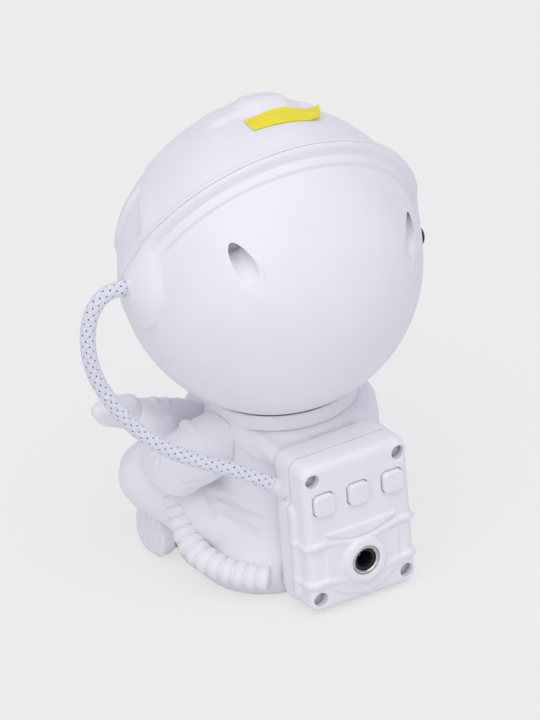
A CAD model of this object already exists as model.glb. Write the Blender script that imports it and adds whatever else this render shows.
import bpy
import bmesh
import math
import numpy as np
from mathutils import Matrix, Vector


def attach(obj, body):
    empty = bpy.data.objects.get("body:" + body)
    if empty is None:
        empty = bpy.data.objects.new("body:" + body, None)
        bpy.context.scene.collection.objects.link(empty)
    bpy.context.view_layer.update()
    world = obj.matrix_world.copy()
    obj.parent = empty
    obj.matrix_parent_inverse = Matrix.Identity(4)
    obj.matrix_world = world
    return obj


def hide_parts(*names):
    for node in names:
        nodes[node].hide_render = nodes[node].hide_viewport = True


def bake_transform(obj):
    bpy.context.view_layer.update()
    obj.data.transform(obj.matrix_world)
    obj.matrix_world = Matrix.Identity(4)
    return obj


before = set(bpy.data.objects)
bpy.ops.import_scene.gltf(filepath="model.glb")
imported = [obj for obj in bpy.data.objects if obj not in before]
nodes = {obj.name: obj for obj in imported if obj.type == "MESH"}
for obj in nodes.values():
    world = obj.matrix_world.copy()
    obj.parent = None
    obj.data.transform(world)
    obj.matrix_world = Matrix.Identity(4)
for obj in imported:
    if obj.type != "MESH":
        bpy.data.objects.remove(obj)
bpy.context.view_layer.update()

MM = 0.001

# The helmet's ball in the row frame, and its resting attitude about Z, then Y, then X.
BALL_CENTRE = Vector((0.0, 0.0, 117.5)) * MM
HEAD_ANGLES = (-0.7, -9.3, -26.8)

# Where the camera looks from: the directions to the right and up in the image.
VIEW_RIGHT = Vector((-0.850, 0.523, -0.067))
VIEW_UP = Vector((-0.301, -0.376, 0.876))
PX_PER_MM = 2.787
BALL_PX = (270.1, 261.9)
IMAGE_PX = (540, 720)
CAMERA_AWAY = 1.5  # metres from the middle of the image to the camera
CAMERA_REACH = 20.0


# ------------------------------------------------------------------ materials

NOISE_SPAN = (0.3, 0.7)  # where most values of a noise lie


def placed(name, data):
    """New object in the scene."""
    thing = bpy.data.objects.new(name, data)
    bpy.context.collection.objects.link(thing)
    return thing


def evaluated(thing):
    """Mesh of an object after its modifiers."""
    return bpy.data.meshes.new_from_object(thing.evaluated_get(bpy.context.evaluated_depsgraph_get()))


def as_mesh(work, name):
    """Mesh of a bmesh, which is freed."""
    mesh = bpy.data.meshes.new(name)
    work.to_mesh(mesh)
    work.free()
    return mesh


def mesh_of(name, places, faces):
    """Mesh from places and faces."""
    mesh = bpy.data.meshes.new(name)
    mesh.from_pydata([tuple(p) for p in places], [], faces)
    return mesh


def linear(hex_code):
    """sRGB hex colour as linear RGBA."""
    values = [int(hex_code[i:i + 2], 16) / 255 for i in (1, 3, 5)]
    return (*[v / 12.92 if v <= 0.04045 else ((v + 0.055) / 1.055) ** 2.4 for v in values], 1.0)


def add(tree, kind, settings=None, links=None):
    """Adds a node to a tree, with its settings by name and its links by input socket."""
    node = tree.nodes.new(kind)
    for key, value in (settings or {}).items():
        if isinstance(key, int) or key in node.inputs:
            node.inputs[key].default_value = value
        else:
            setattr(node, key, value)
    for key, source in (links or {}).items():
        tree.links.new(source, node.inputs[key])
    return node


def start_material(name):
    """Empty material with its output node and the object's own coordinates."""
    material = bpy.data.materials.new(name)
    material.use_nodes = True
    tree = material.node_tree
    tree.nodes.clear()
    place = add(tree, "ShaderNodeTexCoord").outputs["Object"]
    return material, tree, place


def finish_material(tree, shader):
    """Links a shader to the material's output."""
    add(tree, "ShaderNodeOutputMaterial", links={"Surface": shader.outputs[0]})


def mottle(tree, place, size_mm, low_hex, high_hex):
    """Colour that drifts between two values over a real distance."""
    drift = add(tree, "ShaderNodeTexNoise", {"Scale": 1 / (size_mm * MM), "Detail": 3.0}, {"Vector": place})
    ramp = add(tree, "ShaderNodeValToRGB", links={"Fac": drift.outputs["Fac"]})
    for element, position, hex_code in zip(ramp.color_ramp.elements, NOISE_SPAN, (low_hex, high_hex)):
        element.position = position
        element.color = linear(hex_code)
    return ramp.outputs["Color"]


def grain(tree, place, size_mm, depth_mm):
    """Normal with a fine grain of a real size and depth."""
    fine = add(tree, "ShaderNodeTexNoise", {"Scale": 1 / (size_mm * MM), "Detail": 2.0}, {"Vector": place})
    bump = add(tree, "ShaderNodeBump", {"Distance": depth_mm * MM, "Strength": 1.0},
               {"Height": fine.outputs["Fac"]})
    return bump.outputs["Normal"]


def uneven(tree, place, size_mm, low, high):
    """Roughness that varies between two values over a real distance."""
    drift = add(tree, "ShaderNodeTexNoise", {"Scale": 1 / (size_mm * MM), "Detail": 4.0}, {"Vector": place})
    spread = add(tree, "ShaderNodeMapRange", {
        "From Min": NOISE_SPAN[0], "From Max": NOISE_SPAN[1], "To Min": low, "To Max": high,
    }, {"Value": drift.outputs["Fac"]})
    return spread.outputs["Result"]


def finish(name, settings, tone, rough, texture=None, stretch=None):
    """Material with a drifting colour, an uneven roughness and maybe a grain, which can be drawn out."""
    material, tree, place = start_material(name)
    links = {"Base Color": mottle(tree, place, *tone), "Roughness": uneven(tree, place, *rough)}
    if stretch:
        place = add(tree, "ShaderNodeMapping", {"Scale": stretch}, {"Vector": place}).outputs["Vector"]
    if texture:
        links["Normal"] = grain(tree, place, *texture)
    finish_material(tree, add(tree, "ShaderNodeBsdfPrincipled", settings, links))
    return material


def moulded_abs():
    """Injection moulded ABS from a lightly eroded tool: near white, a broad soft sheen, faint grain."""
    return finish("moulded_white_ABS", {"IOR": 1.53, "Specular IOR Level": 0.36},
                  (22, "#EEEDF2", "#F2F1F5"), (9, 0.42, 0.52), (0.45, 0.012))


def moulded_buttons():
    """Button caps of the same ABS, a little smoother from fingers."""
    return finish("polished_white_ABS", {"IOR": 1.53, "Specular IOR Level": 0.42},
                  (6, "#ECEBF2", "#F1F0F6"), (3, 0.34, 0.42), (0.5, 0.008))


def smoked_acrylic():
    """Vacuum formed smoked PMMA: dark, see-through towards a light, mirror smooth."""
    settings = {"IOR": 1.49, "Transmission Weight": 0.72, "Coat Weight": 0.4, "Coat Roughness": 0.03}
    return finish("smoked_PMMA", settings, (30, "#3A3843", "#43414C"), (12, 0.04, 0.08))


def matt_black_abs():
    """Black ABS of the light-tight parts, spark-eroded so that it doesn't shine."""
    return finish("matt_black_ABS", {"IOR": 1.53},
                  (8, "#141418", "#1C1C21"), (3, 0.5, 0.66), (0.3, 0.02))


def clear_acrylic(name, grain_mm, depth_mm):
    """Clear moulded PMMA; the wave disc has a rippled face, the lens a polished one."""
    return finish(name, {"IOR": 1.49, "Transmission Weight": 0.95},
                  (15, "#EEF3F5", "#F8FBFC"), (4, 0.02, 0.06), (grain_mm, depth_mm))


def rubber(name, low_hex, high_hex, low_rough, high_rough):
    """Moulded silicone rubber: soft, dull and slightly dusty."""
    return finish(name, {"IOR": 1.43, "Sheen Weight": 0.15},
                  (3, low_hex, high_hex), (1.5, low_rough, high_rough), (0.25, 0.015))


def metal(name, low_hex, high_hex, low_rough, high_rough, grain_mm=0.2, stretch=(1, 1, 1)):
    """Bare or plated metal with fine turning or rolling lines."""
    return finish(name, {"Metallic": 1.0}, (2, low_hex, high_hex), (1.2, low_rough, high_rough),
                  (grain_mm, 0.004), stretch)


def circuit_board(name, low_hex, high_hex):
    """Glass-fibre board under solder mask: glossy lacquer over a faint weave."""
    return finish(name, {"IOR": 1.55, "Coat Weight": 0.3},
                  (1.4, low_hex, high_hex), (2, 0.28, 0.4), (0.35, 0.01))


def nylon():
    """Moulded white nylon of the gears: waxy and slightly translucent."""
    return finish("moulded_nylon", {"IOR": 1.53, "Subsurface Weight": 0.1},
                  (4, "#E6E4DC", "#EEECE6"), (2, 0.38, 0.5))


def braid_yarn():
    """Textured polyester yarn: white filaments with a cool cast, no gloss."""
    return finish("polyester_yarn", {"Sheen Weight": 0.3, "Specular IOR Level": 0.25},
                  (0.8, "#D9DBE6", "#EAEBF3"), (0.6, 0.66, 0.8), (0.16, 0.05))


def cord_core():
    """Grey sheath of the wires, which shows through the holes of the braid."""
    return finish("grey_PVC", {"IOR": 1.52}, (2, "#4A4A54", "#5C5C66"), (1, 0.5, 0.6))


finishes = {
    "white_abs": moulded_abs(),
    "white_button": moulded_buttons(),
    "visor_smoke": smoked_acrylic(),
    "black_plastic": matt_black_abs(),
    "clear_acrylic": clear_acrylic("rippled_PMMA", 5.0, 0.6),
    "lens_acrylic": clear_acrylic("polished_PMMA", 8.0, 0.02),
    "black_rubber": rubber("black_silicone", "#1B1B1E", "#26262A", 0.55, 0.7),
    "white_rubber": rubber("white_silicone", "#DFDDE6", "#EBE9F0", 0.6, 0.72),
    "pad_rubber": rubber("foamed_EVA", "#D9D7DF", "#E6E4EA", 0.8, 0.92),
    "screw_steel": metal("zinc_plated_steel", "#A9A9AE", "#C6C6CB", 0.26, 0.4),
    "cap_steel": metal("rolled_steel_sheet", "#8E8F93", "#A3A4A8", 0.3, 0.45, 0.3, (1, 8, 1)),
    "magnet_nickel": metal("nickel_plated_neodymium", "#BDBBB6", "#CFCDC8", 0.14, 0.24),
    "jack_nickel": metal("nickel_plated_brass", "#B5B1AC", "#D2CEC8", 0.16, 0.28, 0.12, (1, 14, 1)),
    "laser_brass": metal("turned_brass", "#B8933F", "#CDA955", 0.2, 0.34, 0.15, (1, 12, 1)),
    "sink_aluminium": metal("extruded_aluminium", "#B9BBBE", "#CCCED1", 0.3, 0.42, 0.25, (1, 10, 1)),
    "motor_steel": metal("drawn_steel_can", "#9C9DA1", "#B4B5B9", 0.22, 0.36, 0.2, (1, 9, 1)),
    "board_green": circuit_board("green_solder_mask", "#1F5A36", "#2A6B42"),
    "board_white": circuit_board("white_solder_mask", "#E4E4E0", "#EEEEEA"),
    "switch_black": matt_black_abs(),
    "white_nylon": nylon(),
    "cord_braid": braid_yarn(),
}


def dress_nodes():
    """Gives each CAD node its finish."""
    for node in nodes.values():
        for slot in node.material_slots:
            if slot.material and slot.material.name in finishes:
                slot.material = finishes[slot.material.name]


# ------------------------------------------------------------------ set

def make_camera():
    """Parallel camera behind the left shoulder, framed on the whole figure."""
    towards = VIEW_RIGHT.cross(VIEW_UP).normalized()
    up = (VIEW_UP - towards * VIEW_UP.dot(towards)).normalized()
    right = up.cross(towards)
    across = (IMAGE_PX[0] / 2 - BALL_PX[0]) / PX_PER_MM * MM
    above = (BALL_PX[1] - IMAGE_PX[1] / 2) / PX_PER_MM * MM
    middle = BALL_CENTRE + right * across + up * above
    data = bpy.data.cameras.new("camera")
    data.type = "ORTHO"
    data.ortho_scale = IMAGE_PX[1] / PX_PER_MM * MM
    data.clip_end = CAMERA_REACH
    camera = placed("camera", data)
    turned = Matrix((right, up, towards)).transposed().to_4x4()
    camera.matrix_world = Matrix.Translation(middle + towards * CAMERA_AWAY) @ turned
    bpy.context.scene.camera = camera


def backdrop_shader(tree, lit_hex, shown_hex, share):
    """Diffuse white for the light, mixed with a plain pale tone where it is seen."""
    rays = add(tree, "ShaderNodeLightPath")
    glossy = add(tree, "ShaderNodeMath", {"operation": "MAXIMUM"},
                 {0: rays.outputs["Is Camera Ray"], 1: rays.outputs["Is Glossy Ray"]})
    seen = add(tree, "ShaderNodeMath", {"operation": "MAXIMUM"},
               {0: glossy.outputs[0], 1: rays.outputs["Is Transmission Ray"]})
    part = add(tree, "ShaderNodeMath", {"operation": "MULTIPLY", 1: share}, {0: seen.outputs[0]})
    paint = add(tree, "ShaderNodeBsdfDiffuse", {"Color": linear(lit_hex)})
    tone = add(tree, "ShaderNodeEmission", {"Color": linear(shown_hex)})
    return add(tree, "ShaderNodeMixShader",
               links={0: part.outputs[0], 1: paint.outputs[0], 2: tone.outputs[0]})


def make_floor():
    """Plain pale floor under the pad."""
    half = 3.0
    corners = [(-half, -half, 0), (half, -half, 0), (half, half, 0), (-half, half, 0)]
    mesh = mesh_of("floor", corners, [(0, 1, 2, 3)])
    floor = placed("floor", mesh)
    material = bpy.data.materials.new("painted_floor")
    material.use_nodes = True
    tree = material.node_tree
    tree.nodes.clear()
    finish_material(tree, backdrop_shader(tree, "#EBEBEC", "#F1F1F0", 0.72))
    mesh.materials.append(material)


def make_world():
    """Even studio light from all round, with the pale backdrop where it is seen."""
    world = bpy.data.worlds.new("studio")
    bpy.context.scene.world = world
    world.use_nodes = True
    tree = world.node_tree
    tree.nodes.clear()
    rays = add(tree, "ShaderNodeLightPath")
    fill = add(tree, "ShaderNodeBackground", {"Color": linear("#EAE8FA"), "Strength": 0.66})
    shown = add(tree, "ShaderNodeBackground", {"Color": linear("#EFEFEF"), "Strength": 1.0})
    mix = add(tree, "ShaderNodeMixShader", links={
        0: rays.outputs["Is Camera Ray"], 1: fill.outputs[0], 2: shown.outputs[0]})
    add(tree, "ShaderNodeOutputWorld", links={"Surface": mix.outputs[0]})


def make_lamp(name, aim_from, strength, spread_deg, hex_code):
    """Wide soft sun that shines from one direction."""
    data = bpy.data.lights.new(name, "SUN")
    data.energy = strength
    data.angle = math.radians(spread_deg)
    data.color = linear(hex_code)[:3]
    lamp = placed(name, data)
    lamp.rotation_mode = "QUATERNION"
    lamp.rotation_quaternion = Vector(aim_from).to_track_quat("Z", "Y")


def make_set():
    """Camera, floor, world and lamps."""
    make_camera()
    make_floor()
    make_world()
    make_lamp("top_softbox", (0.1, 0.36, 1.0), 1.02, 60, "#FCFDF2")
    make_lamp("side_softbox", (0.8, 0.7, 0.6), 0.46, 60, "#FCFDF2")
    bpy.context.scene.view_settings.view_transform = "Standard"


# ------------------------------------------------------------------ cord

# Control points of the cord's line, in millimetres, from the left ear to the backpack.
CORD_ROUTE = [
    (60.72, -0.74, 127.445),
    (67.2, -0.82, 128.5),
    (74.2, -1.5, 122.6),
    (77.4, -1.0, 112.0),
    (76.8, 0.0, 99.5),
    (72.3, 2.5, 87.0),
    (65.0, 7.0, 74.3),
    (55.5, 13.0, 65.0),
    (46.0, 19.5, 59.8),
    (36.5, 25.5, 56.2),
    (29.45, 29.25, 51.96),
    (24.2, 32.4, 48.6),
]
CORD_R = 3.0
BRAID_ENDS = 6  # yarn bundles that wind each way round the cord
BRAID_CELL = 4.0  # from one hole of the braid to the next along the cord
BUNDLE_W = 2.62
BUNDLE_THICK = 0.36
BUNDLE_SINK = 0.95  # depth of a bundle in the cord, in its own thicknesses
BUNDLE_WAVE = 0.35  # how much that changes as it goes over and under the others
BRAID_STEP = 0.45
CORE_STEP = 1.5
CORE_SIDES = 24
CORE_DEPTH = 2.2  # depth of the core under the surface, in thicknesses of a bundle

# Section of a bundle: places across it and heights, both as shares of half its size.
BUNDLE_SECTION = ((-1.0, -0.9), (-0.78, 0.55), (-0.42, 0.85), (-0.1, 0.45),
                  (0.1, 0.45), (0.42, 0.85), (0.78, 0.55), (1.0, -0.9))


def spline_object(name, route, resolution):
    """Curve on a smooth spline through control points in millimetres."""
    curve = bpy.data.curves.new(name, "CURVE")
    curve.dimensions = "3D"
    curve.resolution_u = resolution
    spline = curve.splines.new("NURBS")
    spline.points.add(len(route) - 1)
    for point, place in zip(spline.points, route):
        point.co = (*(Vector(place) * MM), 1.0)
    spline.order_u = 3
    spline.use_endpoint_u = True
    return bpy.data.objects.new(name, curve)


def route_line():
    """Points along the centre line of the cord."""
    line = spline_object("cord_line", CORD_ROUTE, 24)
    curve = line.data
    mesh = bpy.data.meshes.new_from_object(line)
    points = [vertex.co.copy() for vertex in mesh.vertices]
    bpy.data.objects.remove(line)
    bpy.data.curves.remove(curve)
    bpy.data.meshes.remove(mesh)
    return points


def even_frames(points, step):
    """Points at even steps along a line, each with its direction and two untwisted side directions."""
    lengths = [0.0]
    for a, b in zip(points, points[1:]):
        lengths.append(lengths[-1] + (b - a).length)
    count = max(2, round(lengths[-1] / step))
    places = []
    k = 0
    for i in range(count + 1):
        target = lengths[-1] * i / count
        while k < len(points) - 2 and lengths[k + 1] < target:
            k += 1
        share = (target - lengths[k]) / max(lengths[k + 1] - lengths[k], 1e-9)
        places.append(points[k].lerp(points[k + 1], share))
    frames = []
    side = None
    for i, place in enumerate(places):
        way = (places[min(i + 1, count)] - places[max(i - 1, 0)]).normalized()
        if side is None:
            side = way.orthogonal().normalized()
        side = (side - way * side.dot(way)).normalized()
        frames.append((place, way, side, way.cross(side)))
    return frames, lengths[-1]


def new_piece(name, mesh, material, body):
    """Object at the origin that rides on a body and takes its finish from a slot."""
    piece = placed(name, mesh)
    if material is not None:
        mesh.materials.clear()
        mesh.materials.append(material)
    if body:
        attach(piece, body)
    return piece


def grid_faces(rows, columns, first, closed):
    """Quads of a grid of vertices that starts at an index."""
    faces = []
    last = columns if closed else columns - 1
    for i in range(rows - 1):
        for j in range(last):
            a = first + i * columns + j
            b = first + i * columns + (j + 1) % columns
            faces.append((a, b, b + columns, a + columns))
    return faces


def bundle(frames, turn, hand, vertices, faces):
    """One flat bundle of yarns that winds round the cord, over and under the others."""
    step = (frames[1][0] - frames[0][0]).length
    pitch = BRAID_ENDS * BRAID_CELL * MM
    first = len(vertices)
    half_turn = BUNDLE_W / 2 / CORD_R
    for i, (place, _, side, other) in enumerate(frames):
        angle = turn + hand * 2 * math.pi * i * step / pitch
        wave = math.cos(BRAID_ENDS * (angle - hand * turn) + (0 if hand > 0 else math.pi))
        base = CORD_R - BUNDLE_THICK * (BUNDLE_SINK - BUNDLE_WAVE * wave)
        for offset, lift in BUNDLE_SECTION:
            here = angle + offset * half_turn
            radius = (base + lift * BUNDLE_THICK / 2) * MM
            out = side * math.cos(here) + other * math.sin(here)
            vertices.append(place + out * radius)
    faces.extend(grid_faces(len(frames), len(BUNDLE_SECTION), first, True))


def build_cord():
    """Braided sleeve over a grey core, from the ear to the backpack."""
    points = route_line()
    frames, length = even_frames(points, BRAID_STEP * MM)
    vertices = []
    faces = []
    for hand in (-1, 1):
        for k in range(BRAID_ENDS):
            bundle(frames, 2 * math.pi * k / BRAID_ENDS, hand, vertices, faces)
    mesh = mesh_of("braided_sleeve", vertices, faces)
    smooth_outwards(mesh)
    sleeve = new_piece("braided_sleeve", mesh, finishes["cord_braid"], None)
    core_frames, _ = even_frames(points, CORE_STEP * MM)
    core_r = (CORD_R - CORE_DEPTH * BUNDLE_THICK) * MM
    ring = [2 * math.pi * k / CORE_SIDES for k in range(CORE_SIDES)]
    places = [place + (side * math.cos(a) + other * math.sin(a)) * core_r
              for place, _, side, other in core_frames for a in ring]
    core = mesh_of("cord_core", places, grid_faces(len(core_frames), CORE_SIDES, 0, True))
    smooth_outwards(core)
    inner = new_piece("cord_core", core, cord_core(), None)
    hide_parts("braided_cord")
    for piece in (sleeve, inner):
        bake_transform(piece)


def smooth_outwards(mesh):
    """Smooth shading, with the faces turned outwards."""
    work = bmesh.new()
    work.from_mesh(mesh)
    bmesh.ops.recalc_face_normals(work, faces=work.faces)
    work.to_mesh(mesh)
    work.free()
    mesh.shade_smooth()


# ------------------------------------------------------------------ helmet

BOWL_R = 55.0
SHELL_WALL = 2.4
PARTING_Y = -4.6  # plane between the bowl and the front
PARTING_GAP = 0.3
OUTLINE_R = BOWL_R + 2  # radius at which the outlines below are laid on the helmet
HOOD_R = 57.2
HOOD_EDGE = (14.5, 18.0)  # heights over which the hood rises out of the ball
HOOD_TOP_Y = -27  # where that edge is highest
HOOD_FALL = 0.1  # how fast it falls to both sides of there
EDGE_RISE = 1.3  # step at the outer edge of the flange and the ear lobes
EDGE_SOFT = (-0.35, 0.5)  # where that step starts and ends, inwards from the edge
FLANGE_SLOPE = 0.75  # how much the flange climbs towards the ridge
EAR_SLOPE = 0.95  # how much more it climbs at the ears
EAR_BEND = 0.3  # how much later it climbs there
EAR_HEIGHTS = (8, 24)  # heights over which the ear lobes turn into the rim
COVE_W = 2.0  # width of the hollow between the flange and the crest
DOME_W = 10.0  # the same at the ears
CREST_R = 60.55  # crest of the rim and top of the ear domes
FRONT_RIM_Y = -9.4  # where the front's side of the rim ends, before it fades out
FRONT_RIM_FADE = (-24, -9.5)
FRONT_RIM_Z = (10, 16)  # heights over which the front goes from ear lobe to rim
MELD = 2.2  # how sharply the rim and the details of the front meet
MELD_FLOOR = 0.98  # least share of the higher one that is kept there
VISOR_HALF = (44.0, 31.0)
VISOR_MIDDLE_Z = -2.0
VISOR_CORNER = 30.0
VISOR_GAP = 0.15
VISOR_CUT_Y = (-70, -12)
VISOR_STEPS = 96
FRAME_W = 4.0
FRAME_RISE = 1.6
FRAME_SOFT = 0.8
FRAME_FADE = (10, 16)  # distances in front of the ears over which the frame rises
BROW_ANGLE = 48.5
BROW_REACH = 61.5
BROW_SIZE = (6.2, 3.4, 3.0)  # half width, half length and corner
BROW_SOFT = (-8.5, 0.6)
BROW_COVERS = 2.4  # height of the brow at which it has covered the wing
WING_SIZE = (21.0, 7.0, 4.0)
WING_DROP = 3.5
WING_RISE = 1.5
WING_SOFT = (-2.2, 1.4)
RECESS = (34.6, 34.5)
RECESS_R = 3.9
RECESS_Y = (13.0, 60)
RECESS_SINK = 0.45  # depth and width of the worn lip round a recess
RECESS_LIP = 1.1
POST_R = 5.2
POST_REACH = 30
CORD_GAP = 0.15
CORD_HOLE_X = (56, 70)
CORD_HOLE_SIDES = 40
SHELL_CREASE = 38  # degrees from which an edge of the shells is sharp

# Steps of the mesh. Towards each pole, by its sign, fine ones reach this far and coarse ones follow.
HELMET_COLUMNS = 520
FINE_REACH = {1: 17, -1: 40}
FINE_STEP = {1: 0.42, -1: 0.6}
COARSE_STEP = 0.85
POLE_GAP = 0.01  # radians from the pole at which the rows end
RING_PASSES = 6  # rounds that bring the first ring onto the parting plane

# Edges of the flange and the ridge in the side view (Y, Z), which widen into the ear's lobe and dome.
FLANGE_EDGE = [
    (1.9, 90), (1.9, 42), (1.9, 27), (2.2, 19.5), (6.2, 13.4), (12.6, 7.2), (15.3, 1.0), (15.3, -5.0),
    (11.8, -12.6), (6.4, -17.2), (0.5, -19.6), (-6.5, -19.0), (-12.5, -14.6), (-15.6, -7.5), (-16.2, 2.0),
    (-14.4, 9.3), (-11.2, 14.4), (-9.5, 22), (-9.5, 42), (-9.5, 90),
]
RIDGE_EDGE = [
    (-1.7, 90), (-1.7, 42), (-1.7, 25), (-0.9, 19.5), (1.3, 16.0), (5.0, 11.4), (10.2, 5.4), (11.9, 0.3),
    (10.7, -4.6), (7.4, -8.4), (2.6, -10.3), (-3.0, -10.2), (-7.8, -7.4), (-10.6, -2.4), (-10.8, 4.0),
    (-9.4, 10), (-8.2, 17), (-7.8, 28), (-7.8, 42), (-7.8, 90),
]


def smooth_closed(points):
    """Closed outline on a smooth curve through its corner points."""
    out = []
    count = len(points)
    per_span = 6
    for i in range(count):
        p = [np.array(points[(i + k) % count], float) for k in (-1, 0, 1, 2)]
        for j in range(per_span):
            t = j / per_span
            out.append(0.5 * (2 * p[1] + (p[2] - p[0]) * t + (2 * p[0] - 5 * p[1] + 4 * p[2] - p[3]) * t**2
                              + (3 * p[1] - p[0] - 3 * p[2] + p[3]) * t**3))
    return np.array(out)


def inside_distance(outline, across, up):
    """Distance to an outline, positive inside it."""
    nearest = np.full(across.shape, 1e9)
    crossings = np.zeros(across.shape, int)
    for a, b in zip(outline, np.roll(outline, -1, axis=0)):
        run = b - a
        share = np.clip(((across - a[0]) * run[0] + (up - a[1]) * run[1]) / max(run @ run, 1e-12), 0, 1)
        gap = np.hypot(across - a[0] - share * run[0], up - a[1] - share * run[1])
        nearest = np.minimum(nearest, gap)
        if a[1] != b[1]:
            level = (a[1] > up) != (b[1] > up)
            crossings += level & (across < a[0] + (up - a[1]) / (b[1] - a[1]) * run[0])
    return np.where(crossings % 2 == 1, nearest, -nearest)


def ease(value, low, high):
    """Smooth step from 0 to 1 between two values."""
    t = np.clip((value - low) / (high - low), 0, 1)
    return t * t * (3 - 2 * t)


def rounded_box_distance(across, up, half_across, half_up, corner):
    """Distance from a rounded rectangle about the origin, negative inside it."""
    a = np.abs(across) - half_across + corner
    b = np.abs(up) - half_up + corner
    return np.hypot(np.maximum(a, 0), np.maximum(b, 0)) + np.minimum(np.maximum(a, b), 0) - corner


def rim_and_ears(y, z):
    """Height of the flange, the ridge and the ear lobes over the ball."""
    flange = inside_distance(smooth_closed(FLANGE_EDGE), y, z)
    ridge = inside_distance(smooth_closed(RIDGE_EDGE), y, z)
    ear = 1 - ease(z, *EAR_HEIGHTS)
    edge = EDGE_RISE * ease(flange, *EDGE_SOFT)
    between = np.clip(flange / np.maximum(flange + np.maximum(-ridge, 0), 0.01), 0, 1)
    slope = np.where(flange > 0, (FLANGE_SLOPE + EAR_SLOPE * ear) * between**(1 + EAR_BEND * ear), 0)
    width = COVE_W + (DOME_W - COVE_W) * ear
    top = 1 - (1 - np.clip(ridge / width, 0, 1))**2
    crest = (CREST_R - BOWL_R - EDGE_RISE - FLANGE_SLOPE - EAR_SLOPE * ear) * top
    return edge + slope + crest


def front_details(x, y, z):
    """Height of the hood, the visor's frame, the wing and the brow over the ball."""
    hood = (HOOD_R - BOWL_R) * ease(z + HOOD_FALL * np.abs(y - HOOD_TOP_Y), *HOOD_EDGE)
    outer = [half + FRAME_W for half in VISOR_HALF]
    around = rounded_box_distance(x, z - VISOR_MIDDLE_Z, *outer, VISOR_CORNER + FRAME_W)
    frame_band = FRAME_RISE * ease(-around, -FRAME_SOFT, FRAME_SOFT) * ease(-y, *FRAME_FADE)
    angle = np.degrees(np.arctan2(z, -y))
    along = BOWL_R * np.radians(angle - BROW_ANGLE)
    wing = rounded_box_distance(x, along + WING_DROP, *WING_SIZE)
    wing_rise = WING_RISE * ease(-wing, *WING_SOFT)
    brow = rounded_box_distance(x, along, *BROW_SIZE)
    brow_rise = (BROW_REACH - HOOD_R) * ease(-brow, *BROW_SOFT)
    low = np.maximum(np.maximum(hood, frame_band), 0)
    return low + wing_rise * (1 - ease(brow_rise, 0.0, BROW_COVERS)) + brow_rise * (y < 0)


def ball_grid(rows_y, columns, radius_of):
    """Closed cap over the ball: rows at values of Y on the unit sphere, from the parting to a pole."""
    turns = 2 * np.pi * np.arange(columns) / columns
    directions = []
    for y in rows_y[:-1]:
        flat = math.sqrt(max(0.0, 1 - y * y))
        directions.append(np.stack([flat * np.sin(turns), np.full(columns, y), flat * np.cos(turns)], 1))
    directions = np.concatenate(directions + [np.array([[0.0, rows_y[-1], 0.0]])])
    places = directions * radius_of(directions)[:, None]
    rows = len(rows_y) - 1
    faces = grid_faces(rows, columns, 0, True)
    pole = rows * columns
    last = (rows - 1) * columns
    faces += [(last + j, last + (j + 1) % columns, pole) for j in range(columns)]
    return places, faces


def helmet_rows(first_y, pole):
    """Sines of latitude from the parting plane to a pole, fine over the rim and the ears."""
    angle = math.asin(first_y / CREST_R)
    rows = []
    while pole * angle < math.pi / 2 - POLE_GAP:
        rows.append(math.sin(angle))
        fine = pole * math.sin(angle) * BOWL_R < FINE_REACH[pole]
        step = FINE_STEP[pole] if fine else COARSE_STEP
        angle += pole * step / BOWL_R
    return rows + [float(pole)]


def head_matrix():
    """Place of the helmet's own axes in the row frame."""
    turn, lean, pitch = [math.radians(a) for a in HEAD_ANGLES]
    return (Matrix.Translation(BALL_CENTRE) @ Matrix.Rotation(turn, 4, "Z") @ Matrix.Rotation(lean, 4, "Y")
            @ Matrix.Rotation(pitch, 4, "X") @ Matrix.Scale(MM, 4))


def solid_mesh(name, places, faces):
    """Mesh from arrays, with its faces turned outwards."""
    mesh = mesh_of(name, places, faces)
    work = bmesh.new()
    work.from_mesh(mesh)
    bmesh.ops.holes_fill(work, edges=[e for e in work.edges if e.is_boundary])
    bmesh.ops.recalc_face_normals(work, faces=work.faces)
    work.to_mesh(mesh)
    work.free()
    return mesh


def helmet_cap(name, first_y, pole, radius_of):
    """Closed solid of half the helmet, with its first ring on the parting plane."""
    places, faces = ball_grid(helmet_rows(first_y, pole), HELMET_COLUMNS, radius_of)
    turns = 2 * np.pi * np.arange(HELMET_COLUMNS) / HELMET_COLUMNS
    sine = np.full(HELMET_COLUMNS, first_y / CREST_R)
    for _ in range(RING_PASSES):
        flat = np.sqrt(1 - sine**2)
        rim = np.stack([flat * np.sin(turns), sine, flat * np.cos(turns)], 1)
        reach = radius_of(rim)
        sine = first_y / reach
    places[:HELMET_COLUMNS] = rim * reach[:, None]
    places[:HELMET_COLUMNS, 1] = first_y
    return solid_mesh(name, places, faces)


def cylinder_y(radius, low_y, high_y, x, z, sides=64):
    """Closed cylinder along the helmet's Y."""
    ring = [2 * math.pi * k / sides for k in range(sides)]
    places = [(x + radius * math.cos(a), y, z + radius * math.sin(a)) for y in (low_y, high_y) for a in ring]
    return solid_mesh("cutter", places, grid_faces(2, sides, 0, True))


def ball_mesh(radius):
    """Closed ball about the helmet's centre."""
    work = bmesh.new()
    bmesh.ops.create_uvsphere(work, u_segments=160, v_segments=80, radius=radius)
    return as_mesh(work, "ball")


def combined(mesh, cutters):
    """A mesh less some others."""
    piece = placed("work", mesh)
    helpers = []
    for cutter in cutters:
        helper = placed("helper", cutter)
        helpers.append(helper)
        cut = piece.modifiers.new("cut", "BOOLEAN")
        cut.operation = "DIFFERENCE"
        cut.solver = "EXACT"
        cut.object = helper
    made = evaluated(piece)
    for thing in [piece, *helpers]:
        bpy.data.objects.remove(thing)
    return made


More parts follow.
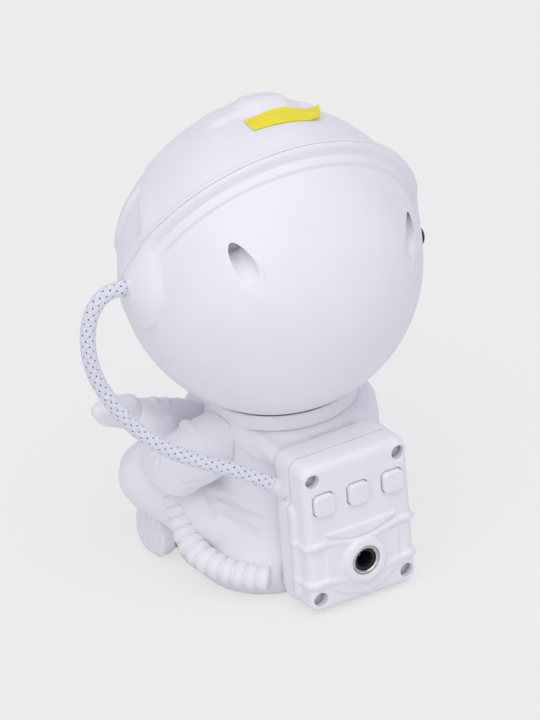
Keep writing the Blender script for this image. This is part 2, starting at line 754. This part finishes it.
def visor_cutter():
    """Prism in the shape of the visor's opening."""
    half_x, half_z = [half + VISOR_GAP for half in VISOR_HALF]
    corner = VISOR_CORNER
    outline = []
    for k in range(VISOR_STEPS):
        a = 2 * math.pi * (k + 0.5) / VISOR_STEPS
        cx = math.copysign(half_x - corner, math.cos(a))
        cz = math.copysign(half_z - corner, math.sin(a))
        outline.append((cx + corner * math.cos(a), VISOR_MIDDLE_Z + cz + corner * math.sin(a)))
    places = [(x, y, z) for y in VISOR_CUT_Y for x, z in outline]
    return solid_mesh("cutter", places, grid_faces(2, len(outline), 0, True))


def bowl_radius(directions):
    """Distance of the bowl's outside from the centre."""
    x, y, z = (directions * OUTLINE_R).T
    radius = BOWL_R + rim_and_ears(y, z)
    for side in (-1, 1):
        gap = np.hypot(x - side * RECESS[0], z - RECESS[1]) - RECESS_R
        radius -= np.where(y > 0, RECESS_SINK * (1 - np.clip(gap / RECESS_LIP, 0, 1))**2, 0)
    return radius


def front_radius(directions):
    """Distance of the front's outside from the centre."""
    x, y, z = (directions * OUTLINE_R).T
    above = ease(z, *FRONT_RIM_Z)
    rim = rim_and_ears(np.maximum(y, FRONT_RIM_Y), z) * above * ease(y, *FRONT_RIM_FADE)
    ear = rim_and_ears(y, z) * (1 - above)
    details = front_details(x, y, z)
    blend = np.log(np.exp((rim + ear) * MELD) + np.exp(details * MELD)) / MELD - math.log(2) / MELD
    return BOWL_R + np.maximum(blend, np.maximum(rim + ear, details) * MELD_FLOOR)


def head_piece(name, mesh, node, slot, crease):
    """Piece that replaces a node of the head, made in the helmet's own axes."""
    mesh.transform(head_matrix())
    mesh.shade_smooth()
    mesh.set_sharp_from_angle(angle=math.radians(crease))
    piece = new_piece(name, mesh, finishes[slot], "head")
    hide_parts(node)


def cord_hole():
    """Cutter for the cord's hole in the left ear lobe."""
    mesh = cylinder_y(CORD_R + CORD_GAP, *CORD_HOLE_X, 0, 0, CORD_HOLE_SIDES)
    mesh.transform(Matrix.Rotation(math.radians(-90), 4, "Z"))
    return mesh


def build_helmet():
    """Bowl and front of the helmet, each a moulded shell."""
    inner = ball_mesh(BOWL_R - SHELL_WALL)
    posts = [cylinder_y(POST_R, -POST_REACH, POST_REACH, s * RECESS[0], RECESS[1]) for s in (-1, 1)]
    room = combined(inner, posts)
    bowl = helmet_cap("helmet_bowl", PARTING_Y, 1, bowl_radius)
    recesses = [cylinder_y(RECESS_R, *RECESS_Y, s * RECESS[0], RECESS[1]) for s in (-1, 1)]
    bowl = combined(bowl, [room, *recesses, cord_hole()])
    head_piece("helmet_bowl", bowl, "rear_shell", "white_abs", SHELL_CREASE)
    front = helmet_cap("helmet_front", PARTING_Y - PARTING_GAP, -1, front_radius)
    front = combined(front, [room, visor_cutter(), cord_hole()])
    head_piece("helmet_front", front, "front_shell", "white_abs", SHELL_CREASE)


# ------------------------------------------------------------------ figure

# Lines of the folds in the suit, in millimetres on the body's surface.
WAIST_FOLDS = [
    [(32.8, 3.3, 34.7), (30.7, 6.1, 34.2), (28.7, 10.2, 32.2), (26.8, 15.1, 30.6), (24.6, 19.0, 29.7),
     (21.8, 22.2, 28.7)],
    [(33.4, 5.5, 32.7), (31.2, 10.6, 29.9), (28.8, 14.6, 27.6), (26.4, 18.6, 25.2), (23.5, 22.5, 23.6)],
    [(33.9, 1.2, 35.4), (34.1, 3.9, 33.4), (34.8, 6.2, 30.5), (35.8, 7.4, 27.3)],
]
ELBOW_FOLDS = [
    [(49.9, -8.5, 52.5), (49.5, -4.7, 53.4), (51.0, -3.2, 51.5), (51.5, -2.7, 49.7)],
    [(46.9, 5.1, 45.3), (43.6, 7.2, 44.2), (40.5, 8.4, 44.9), (35.6, 10.1, 45.6)],
    [(48.6, -1.0, 43.0), (44.5, 3.5, 41.4), (40.5, 6.2, 42.0)],
]
STRAP_LINE = [
    (26.6, 3.0, 64.0), (25.9, 10.8, 62.2), (25.0, 14.7, 60.7), (23.7, 17.8, 58.3), (22.2, 20.6, 56.5),
    (21.3, 24.5, 55.8),
]
STRAP_HALF = 3.4
STRAP_RISE = 0.9
WAIST_PRESS = (1.5, 1.15)  # depth and half width of the folds
ELBOW_PRESS = (0.95, 1.0)
FOLD_ENDS = 0.04  # share of a fold's length at each end that isn't pressed
FOLD_FADE = 2.2  # how soon it is at its full depth
SWELL = 0.35  # height of the swell beside it, as a share of the depth
SWELL_W = 2.4  # and its width, in widths of the fold
BAND_EDGE = (0.7, 0.5)  # reach of a band's rounded edge, inwards and outwards

# Size of the even mesh in millimetres and rounds of smoothing, for each softened node.
MELT = {
    "body_shell": (0.8, 5),
    "left_arm": (0.5, 4),
    "right_arm": (0.6, 5),
    "right_glove": (0.35, 3),
    "guitar_body": (0.5, 3),
    "neck_collar": (0.6, 2),
    "left_boot": (0.4, 6),
    "right_boot": (0.4, 6),
    "backpack_cover": (0.38, 2),
}
HAND_MELT = (0.45, 5)
WELD = 0.001

# Balls inside the headstock and the left hand: centre and radius.
HEADSTOCK = [
    ((57.6, -30.5, 63.1), 3.2), ((54.9, -31.0, 59.3), 3.2), ((52.2, -30.3, 63.9), 3.4),
    ((48.6, -31.0, 56.6), 3.4), ((45.0, -30.5, 61.9), 3.6), ((41.0, -31.0, 54.2), 3.6),
]
PALM = [
    ((41.5, -31.5, 58.4), 3.7), ((41.7, -30.0, 52.8), 4.0), ((31.7, -32.0, 54.4), 4.2),
    ((22.0, -32.5, 50.4), 4.2), ((36.0, -26.5, 50.0), 5.0), ((22.2, -28.5, 45.6), 4.6),
    ((15.3, -33.5, 46.4), 3.6),
]
PALM_PARTS = ((0, 1, 2, 4), (2, 3, 4, 5), (3, 5, 6))
FINGERTIPS = [(34.9, -31.3, 58.3), (29.7, -31.7, 56.1), (24.3, -32.3, 53.8)]
FINGER_RUN = (-0.9, -2.5, -3.2)
FINGERTIP_R = 2.5

HOSE_LINE = [
    (40.9, -11.5, 34.0), (41.0, -8.5, 29.5), (41.9, -4.5, 24.2), (43.1, 1.0, 19.0), (42.4, 7.5, 15.2),
    (38.9, 14.5, 12.2), (33.6, 21.3, 10.0), (27.4, 26.6, 9.0),
]
HOSE_SIZES = {"Ring radius": 4.9, "Ring length": 4.35, "Core radius": 4.0}
RING_HALF = 0.505  # half of a ring with a little overlap, as a share of its length
RING_FLAT = 3.2  # how flat the ring is in the middle
RING_BELLY = 0.16  # how full it stays towards its ends
SMALL_CREASE = 50  # degrees from which an edge of the hose and the plug is sharp

# Crossed grooves in the flat soles: lean and pitch of each set.
SOLE_GROOVES = ((math.radians(38), 2.9), (math.radians(-20), 3.4))
SOLE_X = 41.9
SOLE_DEPTH = 0.45
SOLE_FACING = (0.9, 0.98)  # how squarely a surface has to face sideways to be sole
SOLE_START = (1.2, 0.7)  # how far inside the sole's plane the grooves begin
SOLE_GROOVE_W = (0.1, 0.65)


def gathered(name):
    """Copy of a CAD node's surface, with the doubles merged."""
    work = bmesh.new()
    work.from_mesh(nodes[name].data)
    bmesh.ops.remove_doubles(work, verts=work.verts, dist=WELD * MM)
    return as_mesh(work, "gathered")


def modified(mesh, settings):
    """Mesh after a row of modifiers, each a kind with its settings."""
    piece = placed("work", mesh)
    for kind, values in settings:
        modifier = piece.modifiers.new(kind, kind)
        for key, value in values.items():
            setattr(modifier, key, value)
    made = evaluated(piece)
    bpy.data.objects.remove(piece)
    return made


def melted(mesh, voxel, rounds):
    """Even mesh over a shape, with its edges melted as in a soft moulding."""
    even = {"mode": "VOXEL", "voxel_size": voxel * MM}
    return modified(mesh, [("REMESH", even), ("SMOOTH", {"factor": 0.5, "iterations": rounds})])


def softened(name):
    """Melted copy of a CAD node's surface."""
    return melted(gathered(name), *MELT[name])


def surface_of(mesh):
    """Places and normals of a mesh's vertices, in millimetres."""
    places = np.empty(len(mesh.vertices) * 3)
    mesh.vertices.foreach_get("co", places)
    normals = np.empty(len(mesh.vertices) * 3)
    mesh.vertex_normals.foreach_get("vector", normals)
    return places.reshape(-1, 3) / MM, normals.reshape(-1, 3)


def move_surface(mesh, places):
    """Moves a mesh's vertices to places in millimetres."""
    mesh.vertices.foreach_set("co", (places * MM).ravel())
    mesh.update()


def line_gap(places, line):
    """Distance of places to a line, and how far along it the nearest point is, from 0 to 1."""
    points = np.array(line, float)
    nearest = np.full(len(places), 1e9)
    along = np.zeros(len(places))
    for k, (a, b) in enumerate(zip(points, points[1:])):
        run = b - a
        share = np.clip((places - a) @ run / (run @ run), 0, 1)
        gap = np.linalg.norm(places - a - share[:, None] * run, axis=1)
        along = np.where(gap < nearest, (k + share) / (len(points) - 1), along)
        nearest = np.minimum(nearest, gap)
    return nearest, along


def press(mesh, lines, depth, width):
    """Presses soft folds into a surface along lines, each with a low swell beside it."""
    places, normals = surface_of(mesh)
    for line in lines:
        gap, along = line_gap(places, line)
        fade = np.clip(np.sin(np.pi * np.clip(along, FOLD_ENDS, 1 - FOLD_ENDS)) * FOLD_FADE, 0, 1)
        cut = np.exp(-(gap / width)**2) * (1 + SWELL) - np.exp(-(gap / (SWELL_W * width))**2) * SWELL
        places -= normals * (depth * fade * cut)[:, None]
    move_surface(mesh, places)


def raise_band(mesh, line, half, rise):
    """Lifts a flat band with rounded edges out of a surface along a line."""
    places, normals = surface_of(mesh)
    gap, _ = line_gap(places, line)
    places += normals * (rise * (1 - ease(gap, half - BAND_EDGE[0], half + BAND_EDGE[1])))[:, None]
    move_surface(mesh, places)


def moulded_piece(name, mesh, node):
    """Finished soft piece of the figure, in place of its node."""
    mesh.shade_smooth()
    piece = new_piece(name, mesh, finishes["white_abs"], "base")
    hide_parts(node)


def hull_of_balls(balls):
    """Convex skin round some balls."""
    work = bmesh.new()
    for centre, radius in balls:
        place = Matrix.Translation(Vector(centre) * MM)
        bmesh.ops.create_icosphere(work, subdivisions=3, radius=radius * MM, matrix=place)
    made = bmesh.ops.convex_hull(work, input=work.verts)
    bmesh.ops.delete(work, geom=list(set(made["geom_interior"] + made["geom_unused"])), context="VERTS")
    return as_mesh(work, "hull")


def joined(meshes):
    """One mesh of several."""
    work = bmesh.new()
    for mesh in meshes:
        work.from_mesh(mesh)
    return as_mesh(work, "joined")


def groove_sole(mesh):
    """Cuts crossed grooves into the flat sole at the side of a boot."""
    places, normals = surface_of(mesh)
    y, z = places[:, 1], places[:, 2]
    start, full = [SOLE_X - inside for inside in SOLE_START]
    sole = ease(np.abs(normals[:, 0]), *SOLE_FACING) * ease(np.abs(places[:, 0]), start, full)
    for lean, pitch in SOLE_GROOVES:
        across = (y * math.cos(lean) + z * math.sin(lean)) / pitch
        off = np.abs(across - np.round(across)) * pitch
        places[:, 0] -= np.sign(normals[:, 0]) * sole * SOLE_DEPTH * (1 - ease(off, *SOLE_GROOVE_W))
    move_surface(mesh, places)


def build_body():
    """Seat, legs and trunk with the folds of the suit and the straps over the shoulders."""
    mesh = softened("body_shell")
    press(mesh, WAIST_FOLDS, *WAIST_PRESS)
    for side in (1, -1):
        raise_band(mesh, [(side * x, y, z) for x, y, z in STRAP_LINE], STRAP_HALF, STRAP_RISE)
    moulded_piece("suit_body", mesh, "body_shell")


def build_limbs():
    """Arms, right glove, guitar, collar and boots with softened creases."""
    left = softened("left_arm")
    press(left, ELBOW_FOLDS, *ELBOW_PRESS)
    moulded_piece("suit_left_arm", left, "left_arm")
    for name in ("right_arm", "right_glove", "guitar_body"):
        moulded_piece(f"suit_{name}", softened(name), name)
    moulded_piece("suit_collar", softened("neck_collar"), "neck_collar")
    for side in ("left", "right"):
        boot = softened(f"{side}_boot")
        groove_sole(boot)
        moulded_piece(f"suit_{side}_boot", boot, f"{side}_boot")


def build_hand():
    """Left hand spread over the guitar's neck, and the rounded headstock beyond it."""
    stock = [hull_of_balls(HEADSTOCK[k:k + 4]) for k in (0, 2)]
    palm = [hull_of_balls([PALM[k] for k in part]) for part in PALM_PARTS]
    tips = []
    for tip in FINGERTIPS:
        root = tuple(a + b for a, b in zip(tip, FINGER_RUN))
        tips.append(hull_of_balls([(tip, FINGERTIP_R), (root, FINGERTIP_R)]))
    moulded_piece("guitar_headstock", melted(joined(stock), *HAND_MELT), "guitar_neck")
    moulded_piece("suit_left_glove", melted(joined(palm + tips), *HAND_MELT), "left_glove")


def hose_tree():
    """Node tree: fat rounded rings at even steps along a curve, over a plain core."""
    tree = bpy.data.node_groups.new("ringed_hose", "GeometryNodeTree")
    face = tree.interface
    face.new_socket("Line", in_out="INPUT", socket_type="NodeSocketGeometry")
    for name, size in HOSE_SIZES.items():
        face.new_socket(name, in_out="INPUT", socket_type="NodeSocketFloat").default_value = size * MM
    face.new_socket("Finish", in_out="INPUT", socket_type="NodeSocketMaterial")
    face.new_socket("Hose", in_out="OUTPUT", socket_type="NodeSocketGeometry")
    given = add(tree, "NodeGroupInput").outputs
    steps = add(tree, "GeometryNodeResampleCurve", {"mode": "LENGTH"},
                {"Curve": given["Line"], "Length": given["Ring length"]})
    way = add(tree, "GeometryNodeInputTangent")
    turn = add(tree, "FunctionNodeAlignRotationToVector", {"axis": "Z"}, {"Vector": way.outputs["Tangent"]})
    bead = add(tree, "GeometryNodeMeshCylinder", {"Vertices": 40, "Side Segments": 12, "Fill Segments": 1},
               {"Radius": given["Ring radius"], "Depth": given["Ring length"]})
    place = add(tree, "GeometryNodeInputPosition")
    parts = add(tree, "ShaderNodeSeparateXYZ", links={0: place.outputs[0]})
    height = add(tree, "ShaderNodeMath", {"operation": "ABSOLUTE"}, {0: parts.outputs["Z"]})
    half = add(tree, "ShaderNodeMath", {"operation": "MULTIPLY", 1: RING_HALF}, {0: given["Ring length"]})
    share = add(tree, "ShaderNodeMath", {"operation": "DIVIDE"}, {0: height.outputs[0], 1: half.outputs[0]})
    power = add(tree, "ShaderNodeMath", {"operation": "POWER", 1: RING_FLAT}, {0: share.outputs[0]})
    rest = add(tree, "ShaderNodeMath", {"operation": "SUBTRACT", 0: 1.0, "use_clamp": True},
               {1: power.outputs[0]})
    belly = add(tree, "ShaderNodeMath", {"operation": "POWER", 1: RING_BELLY}, {0: rest.outputs[0]})
    round_it = add(tree, "ShaderNodeCombineXYZ", {"Z": 1.0}, {"X": belly.outputs[0], "Y": belly.outputs[0]})
    shape = add(tree, "ShaderNodeVectorMath", {"operation": "MULTIPLY"},
                {0: place.outputs[0], 1: round_it.outputs[0]})
    ring = add(tree, "GeometryNodeSetPosition",
               links={"Geometry": bead.outputs["Mesh"], "Position": shape.outputs[0]})
    rings = add(tree, "GeometryNodeInstanceOnPoints", links={
        "Points": steps.outputs[0], "Instance": ring.outputs[0], "Rotation": turn.outputs[0]})
    circle = add(tree, "GeometryNodeCurvePrimitiveCircle", {"Resolution": 32},
                 {"Radius": given["Core radius"]})
    core = add(tree, "GeometryNodeCurveToMesh", {"Fill Caps": True},
               {"Curve": given["Line"], "Profile Curve": circle.outputs["Curve"]})
    both = add(tree, "GeometryNodeJoinGeometry")
    tree.links.new(rings.outputs[0], both.inputs[0])
    tree.links.new(core.outputs[0], both.inputs[0])
    real = add(tree, "GeometryNodeRealizeInstances", links={0: both.outputs[0]})
    painted = add(tree, "GeometryNodeSetMaterial",
                  links={"Geometry": real.outputs[0], "Material": given["Finish"]})
    add(tree, "NodeGroupOutput", links={0: painted.outputs[0]})
    return tree


def build_hose():
    """Ringed air hose that lies along the left thigh."""
    line = spline_object("hose_line", HOSE_LINE, 16)
    bpy.context.collection.objects.link(line)
    rings = line.modifiers.new("rings", "NODES")
    rings.node_group = hose_tree()
    values = {name: size * MM for name, size in HOSE_SIZES.items()}
    values["Finish"] = finishes["white_abs"]
    for item in rings.node_group.interface.items_tree:
        if item.in_out == "INPUT" and item.name in values:
            rings[item.identifier] = values[item.name]
    mesh = evaluated(line)
    bpy.data.objects.remove(line)
    mesh.shade_smooth()
    mesh.set_sharp_from_angle(angle=math.radians(SMALL_CREASE))
    hose = new_piece("ringed_hose", mesh, None, "base")
    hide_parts("air_hose")


# Corners of the sticker on the hood, in the helmet's own axes, in millimetres.
STICKER_CORNERS = ((13.3, -29.1, 47.8), (14.0, -21.4, 51.5), (-18.7, -29.8, 45.5), (-12.0, -20.1, 52.5))
STICKER_R = 57.45
STICKER_THICK = 0.12
STICKER_CURL = 2.2
STICKER_LOOSE = 0.8  # share of its length that still holds
STICKER_LIFT = 0.08
STICKER_CREASE = 40


def sticker_vinyl():
    """Glossy yellow vinyl film, printed plain, slightly wrinkled where it lifts."""
    return finish("yellow_vinyl", {"IOR": 1.46, "Specular IOR Level": 0.3},
                  (5, "#F5E52A", "#FBEE38"), (3, 0.4, 0.5), (1.6, 0.03))


# Plug in the right ear, in the helmet's own axes, from its seat up.
PLUG_R = 4.1
PLUG_STEM_R = 2.3
PLUG_SEAT = 58.2
PLUG_REACH = 63.8
PLUG_DOME = 2.4
PLUG_LIP = ((0.5, 1.6), (0.0, 2.1))  # inside the plug's radius, above its seat
PLUG_SIDES = 64


def build_plug():
    """Domed rubber plug with a soft lip, in the right ear."""
    shoulder = PLUG_REACH - PLUG_DOME
    profile = [(PLUG_STEM_R, PLUG_SEAT)]
    profile += [(PLUG_R - inside, PLUG_SEAT + above) for inside, above in PLUG_LIP]
    profile.append((PLUG_R, shoulder))
    turns = [math.radians(a) for a in range(9, 90, 9)]
    profile += [(PLUG_R * math.cos(a), shoulder + (PLUG_REACH - shoulder) * math.sin(a)) for a in turns]
    ring = [2 * math.pi * k / PLUG_SIDES for k in range(PLUG_SIDES)]
    places = [(-reach, radius * math.cos(a), radius * math.sin(a))
              for radius, reach in profile for a in ring]
    mesh = solid_mesh("ear_plug", places, grid_faces(len(profile), PLUG_SIDES, 0, True))
    head_piece("rubber_plug", mesh, "ear_plug", "black_rubber", SMALL_CREASE)


# Middle lines of the bands round the backpack, over and under the socket.
PACK_BANDS = [
    [
        (23.6, 41.0, 28.4), (23.3, 43.3, 28.5), (22.4, 45.3, 28.0), (21.9, 49.7, 27.9), (18.9, 51.5, 29.0),
        (14.4, 51.5, 29.1), (9.3, 51.5, 27.9), (4.5, 51.5, 26.5), (0.0, 51.5, 26.0), (-4.5, 51.5, 26.5),
        (-9.1, 51.5, 27.4), (-14.4, 51.5, 28.8), (-18.9, 51.5, 28.8), (-21.9, 49.7, 27.9),
        (-22.4, 45.3, 28.0), (-23.3, 43.3, 28.5), (-23.6, 41.0, 28.4),
    ],
    [
        (23.6, 41.0, 14.0), (23.4, 43.1, 14.0), (22.4, 44.8, 12.9), (22.4, 49.5, 12.9), (20.2, 51.5, 13.0),
        (14.6, 51.5, 13.6), (9.3, 51.5, 12.6), (5.2, 51.5, 11.4), (0.0, 51.5, 10.8), (-5.2, 51.5, 11.4),
        (-10.2, 51.5, 12.6), (-14.9, 51.5, 13.8), (-18.6, 51.1, 13.6), (-22.4, 49.5, 12.9),
        (-22.4, 44.8, 12.9), (-23.4, 43.1, 14.0), (-23.6, 41.0, 14.0),
    ],
]
BAND_HALF = 1.15
BAND_RISE = 0.6


def build_cover():
    """Backpack cover with softened edges and the raised bands that wrap round it."""
    mesh = softened("backpack_cover")
    for line in PACK_BANDS:
        raise_band(mesh, line, BAND_HALF, BAND_RISE)
    moulded_piece("moulded_cover", mesh, "backpack_cover")


def build_sticker():
    """Plain yellow sticker on the hood, with one end that has come loose."""
    a, b, c, d = [Vector(p) for p in STICKER_CORNERS]
    columns = 60
    rows = 20
    steps = [(j / columns, i / rows) for i in range(rows + 1) for j in range(columns + 1)]
    ways = np.array([tuple(a.lerp(c, u).lerp(b.lerp(d, u), v).normalized()) for u, v in steps])
    loose = [max(0.0, (u - STICKER_LOOSE) / (1 - STICKER_LOOSE)) for u, _ in steps]
    lift = STICKER_LIFT + STICKER_CURL * np.array(loose)**2
    places = ways * (np.maximum(front_radius(ways), STICKER_R) + lift)[:, None]
    mesh = mesh_of("sticker", places, grid_faces(rows + 1, columns + 1, 0, False))
    mesh = modified(mesh, [("SOLIDIFY", {"thickness": STICKER_THICK, "offset": 1.0})])
    mesh.transform(head_matrix())
    smooth_outwards(mesh)
    mesh.set_sharp_from_angle(angle=math.radians(STICKER_CREASE))
    new_piece("blank_sticker", mesh, sticker_vinyl(), "head")


dress_nodes()
make_set()
build_cord()
build_helmet()
build_body()
build_limbs()
build_hand()
build_hose()
build_sticker()
build_plug()
build_cover()
